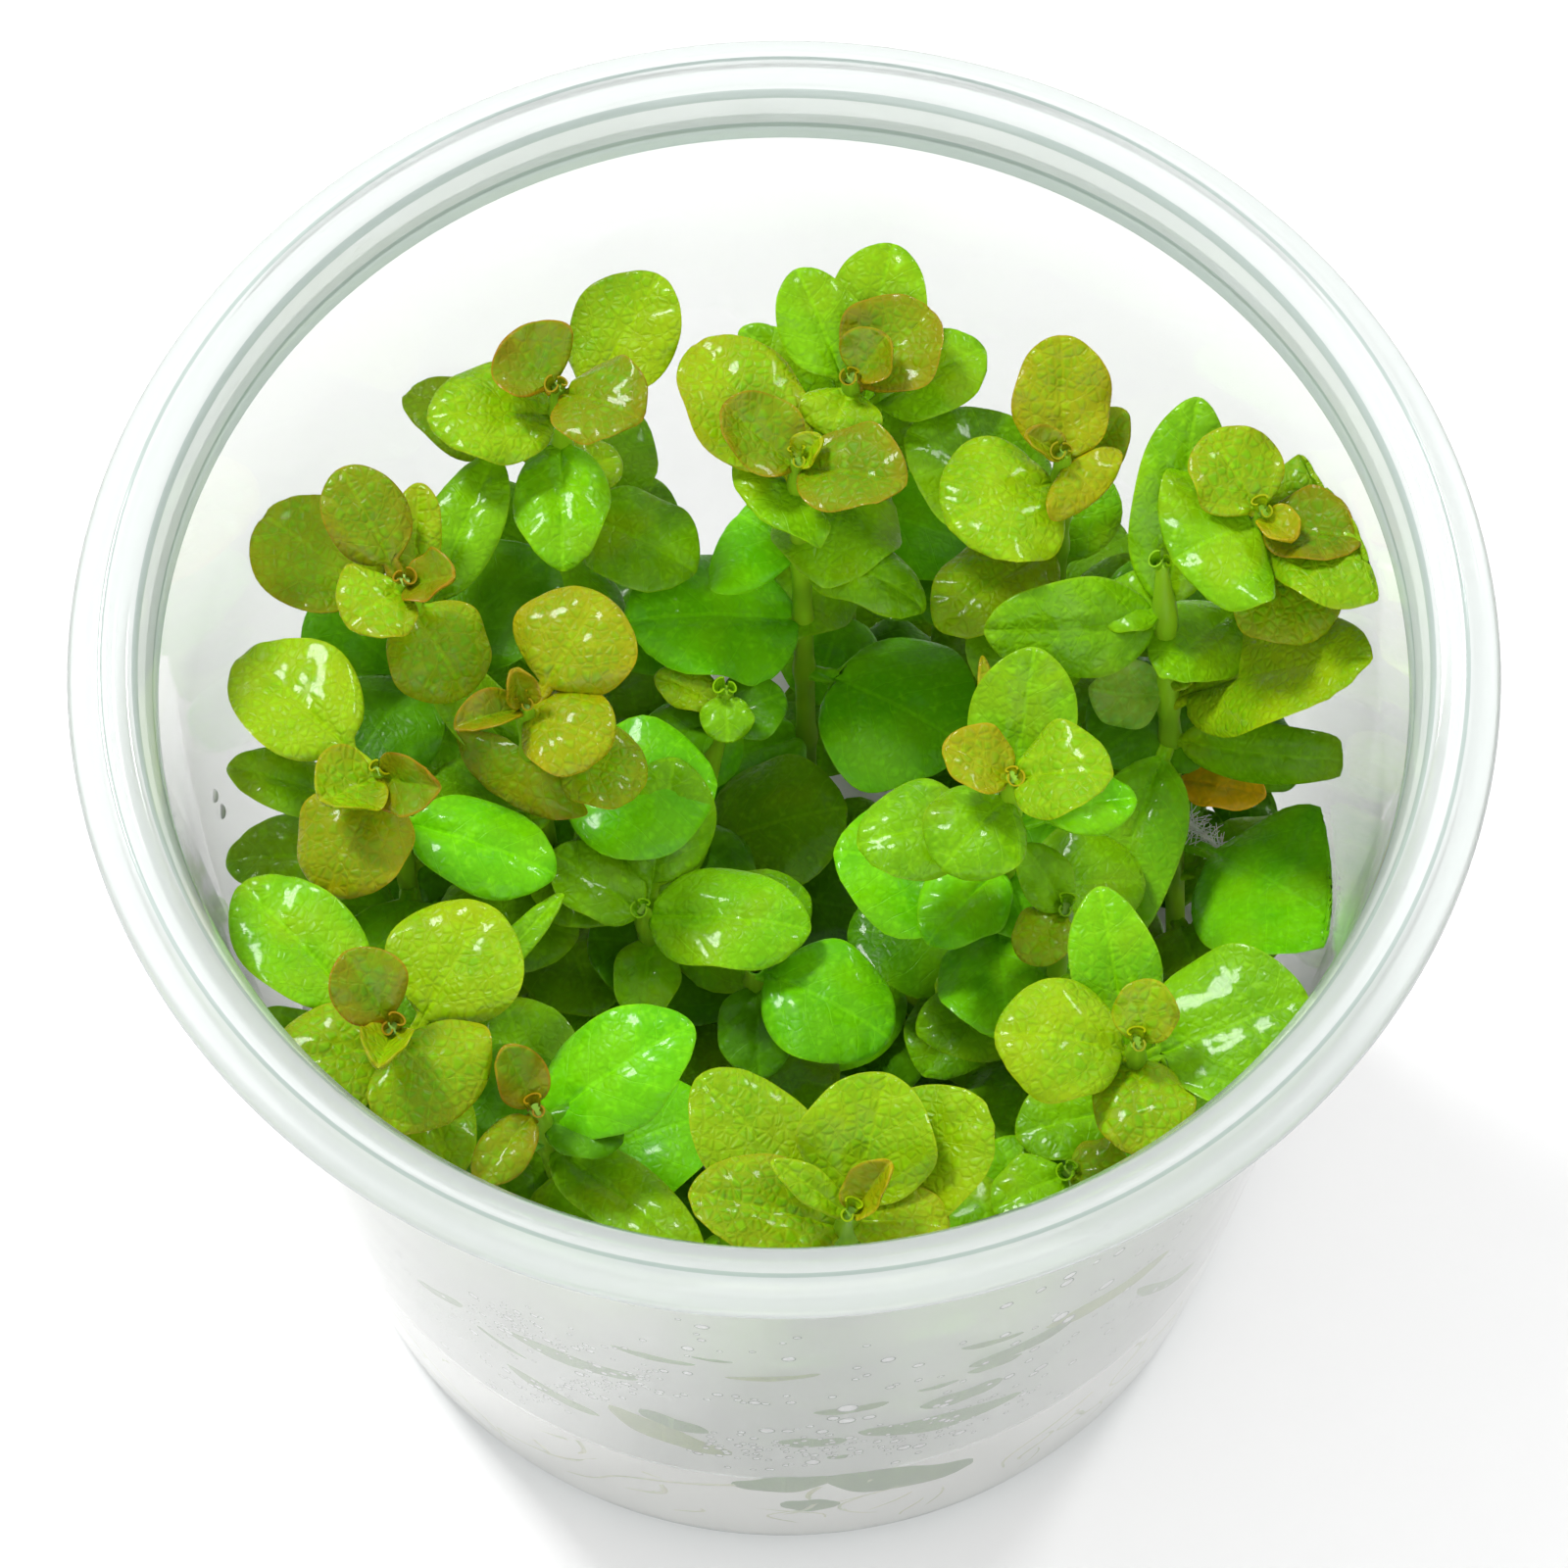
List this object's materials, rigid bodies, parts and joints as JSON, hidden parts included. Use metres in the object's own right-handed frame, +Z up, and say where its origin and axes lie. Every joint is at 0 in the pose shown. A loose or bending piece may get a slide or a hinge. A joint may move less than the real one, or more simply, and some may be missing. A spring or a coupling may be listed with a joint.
{
  "type": "ludwigia aquarium plant in a culture cup",
  "caption": "Round-leaved aquarium plant: rooted shoots with opposite glossy leaves, standing in nutrient gel in an open clear plastic culture cup.",
  "frame": {"origin": "middle of the cup's base, on the surface it stands on", "axes": "+Z up along the cup's axis, -Y towards the front of the cup"},
  "size_m": [0.1, 0.1, 0.088],
  "materials": {
    "cup_plastic": "clear, slightly milky, smooth",
    "jelly": "cloudy, wet",
    "stem_green": "smooth, fleshy",
    "leaf_green": "glossy, finely veined",
    "leaf_young": "glossy, reddish at the edge"
  },
  "bodies": {
    "root": {"culture_cup": "cup_plastic", "nutrient_gel": "jelly", "stem_01": "stem_green", "stem_02": "stem_green", "stem_03": "stem_green", "stem_04": "stem_green", "stem_05": "stem_green", "stem_06": "stem_green", "stem_07": "stem_green", "stem_08": "stem_green", "stem_09": "stem_green", "stem_10": "stem_green", "stem_11": "stem_green", "stem_12": "stem_green", "stem_13": "stem_green", "stem_14": "stem_green", "stem_15": "stem_green", "stem_16": "stem_green", "stem_17": "stem_green", "stem_18": "stem_green", "stem_19": "stem_green", "leaf_01_b": "leaf_young", "leaf_01_c": "leaf_green", "leaf_01_d": "leaf_green", "leaf_01_e": "leaf_green", "leaf_02_c": "leaf_young", "leaf_02_d": "leaf_green", "leaf_02_e": "leaf_green", "leaf_02_f": "leaf_green", "leaf_03_c": "leaf_green", "leaf_03_d": "leaf_young", "leaf_03_f": "leaf_green", "leaf_04_c": "leaf_young", "leaf_04_d": "leaf_young", "leaf_05_c": "leaf_young", "leaf_05_d": "leaf_young", "leaf_05_e": "leaf_green", "leaf_05_f": "leaf_green", "leaf_07_e": "leaf_green", "leaf_07_f": "leaf_green", "leaf_07_g": "leaf_green", "leaf_08_b": "leaf_young", "leaf_08_c": "leaf_young", "leaf_08_d": "leaf_green", "leaf_08_e": "leaf_green", "leaf_09_b": "leaf_young", "leaf_09_c": "leaf_green", "leaf_09_d": "leaf_green", "leaf_10_b": "leaf_young", "leaf_10_d": "leaf_young", "leaf_10_e": "leaf_green", "leaf_11_c": "leaf_green", "leaf_12_b": "leaf_young", "leaf_13_b": "leaf_young", "leaf_13_c": "leaf_young", "leaf_13_d": "leaf_green", "leaf_13_f": "leaf_green", "leaf_18_d": "leaf_green", "leaf_18_f": "leaf_green", "leaf_18_h": "leaf_green"}
  },
  "joints": []
}
